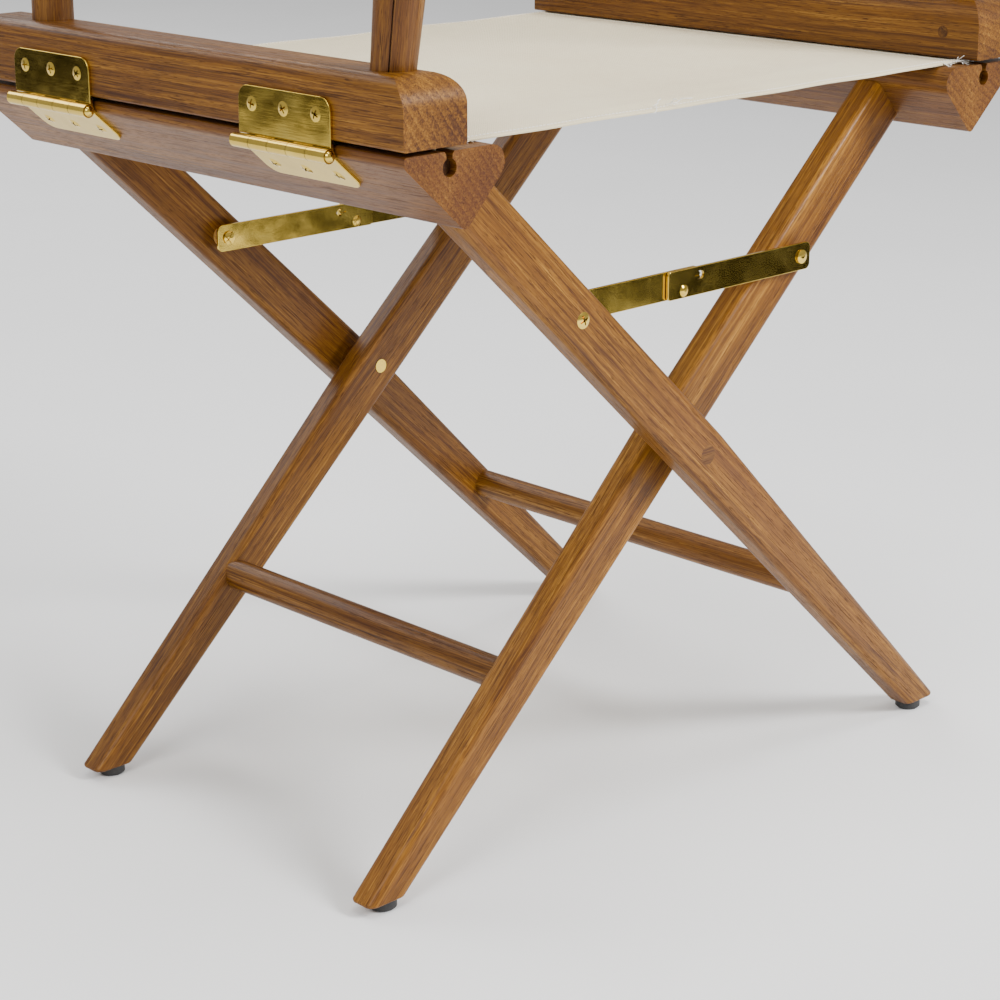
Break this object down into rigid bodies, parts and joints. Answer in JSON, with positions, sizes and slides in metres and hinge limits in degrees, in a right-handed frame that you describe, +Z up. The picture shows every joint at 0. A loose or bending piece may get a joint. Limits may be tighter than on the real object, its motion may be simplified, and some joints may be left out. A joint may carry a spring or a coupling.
{
  "type": "director chair",
  "caption": "Folding wooden director chair with crossed legs, hinged arm frames, flat brass braces and a slung canvas seat and back.",
  "frame": {"origin": "on the floor under the middle of the chair's overall outline", "axes": "+X to the sitter's left, +Y to the back of the chair, +Z up"},
  "size_m": [0.5804, 0.48, 0.881],
  "materials": {
    "wood": "oiled satin",
    "plug_wood": "oiled satin end grain",
    "brass": "polished",
    "canvas": "plain woven cotton canvas",
    "rubber": "matte",
    "amber_spacer": "satin"
  },
  "bodies": {
    "frame_a": {"leg_outer_rear": "wood", "leg_outer_front": "wood", "seat_rail_left": "wood", "stretcher_outer": "wood", "foot_outer_rear": "rubber", "foot_outer_front": "rubber", "pivot_bolts": "brass", "pivot_spacers": "amber_spacer", "pivot_plugs": "plug_wood", "hinge_left_rear_lower_leaf": "brass", "hinge_left_front_lower_leaf": "brass", "hinge_pins_left": "brass", "hinge_screws_lower_left": "brass", "brace_screw_rear": "brass", "brace_screw_spacer_rear": "amber_spacer", "brace_stud_front": "brass", "brace_stud_spacer_front": "amber_spacer", "seat_rod_left": "wood", "seat_canvas": "canvas"},
    "frame_b": {"leg_inner_rear": "wood", "leg_inner_front": "wood", "seat_rail_right": "wood", "stretcher_inner": "wood", "foot_inner_rear": "rubber", "foot_inner_front": "rubber", "hinge_right_rear_lower_leaf": "brass", "hinge_right_front_lower_leaf": "brass", "hinge_pins_right": "brass", "hinge_screws_lower_right": "brass", "brace_stud_rear": "brass", "brace_stud_spacer_rear": "amber_spacer", "brace_screw_front": "brass", "brace_screw_spacer_front": "amber_spacer", "seat_rod_right": "wood"},
    "arm_left": {"base_rail_left": "wood", "post_plugs_left": "plug_wood", "front_post_left": "wood", "back_post_left": "wood", "armrest_left": "wood", "hinge_left_rear_upper_leaf": "brass", "hinge_left_front_upper_leaf": "brass", "hinge_screws_upper_left": "brass", "back_canvas": "canvas"},
    "arm_right": {"base_rail_right": "wood", "post_plugs_right": "plug_wood", "front_post_right": "wood", "back_post_right": "wood", "armrest_right": "wood", "hinge_right_rear_upper_leaf": "brass", "hinge_right_front_upper_leaf": "brass", "hinge_screws_upper_right": "brass"},
    "link_rear_a": {"brace_link_rear_outer": "brass", "brace_rivet_tail_rear": "brass"},
    "link_rear_b": {"brace_link_rear_inner": "brass", "brace_rivet_head_rear": "brass"},
    "link_front_a": {"brace_link_front_outer": "brass", "brace_rivet_head_front": "brass"},
    "link_front_b": {"brace_link_front_inner": "brass", "brace_rivet_tail_front": "brass"}
  },
  "joints": [
    {"name": "fold", "type": "hinge", "parent": "frame_a", "child": "frame_b", "pos_m": [0, 0, 0.248], "axis": [0, 1, 0], "range_deg": [0, 76], "deforming": ["seat_canvas", "back_canvas"]},
    {"name": "arm_left_hinge", "type": "hinge", "parent": "frame_a", "child": "arm_left", "pos_m": [0.286, 0, 0.471], "axis": [0, 1, 0], "range_deg": [0, 38.05]},
    {"name": "arm_right_hinge", "type": "hinge", "parent": "frame_b", "child": "arm_right", "pos_m": [-0.286, 0, 0.471], "axis": [0, -1, 0], "range_deg": [0, 38.05]},
    {"name": "brace_rear_outer_pivot", "type": "hinge", "parent": "frame_a", "child": "link_rear_a", "pos_m": [0.11703, 0.157, 0.35637], "axis": [0, 1, 0], "range_deg": [0, 115.46]},
    {"name": "brace_rear_inner_pivot", "type": "hinge", "parent": "frame_b", "child": "link_rear_b", "pos_m": [-0.11703, 0.159, 0.35637], "axis": [0, -1, 0], "range_deg": [0, 115.46]},
    {"name": "brace_front_outer_pivot", "type": "hinge", "parent": "frame_a", "child": "link_front_a", "pos_m": [0.11703, -0.156, 0.35637], "axis": [0, 1, 0], "range_deg": [0, 115.46]},
    {"name": "brace_front_inner_pivot", "type": "hinge", "parent": "frame_b", "child": "link_front_b", "pos_m": [-0.11703, -0.158, 0.35637], "axis": [0, -1, 0], "range_deg": [0, 115.46]}
  ],
  "couplings": [
    {"joint": "arm_left_hinge", "follows": "fold", "ratio": 0.5},
    {"joint": "arm_right_hinge", "follows": "fold", "ratio": 0.5},
    {"joint": "brace_rear_outer_pivot", "follows": "fold", "ratio": 1.5186},
    {"joint": "brace_rear_inner_pivot", "follows": "fold", "ratio": 1.5186},
    {"joint": "brace_front_outer_pivot", "follows": "fold", "ratio": 1.5186},
    {"joint": "brace_front_inner_pivot", "follows": "fold", "ratio": 1.5186}
  ]
}
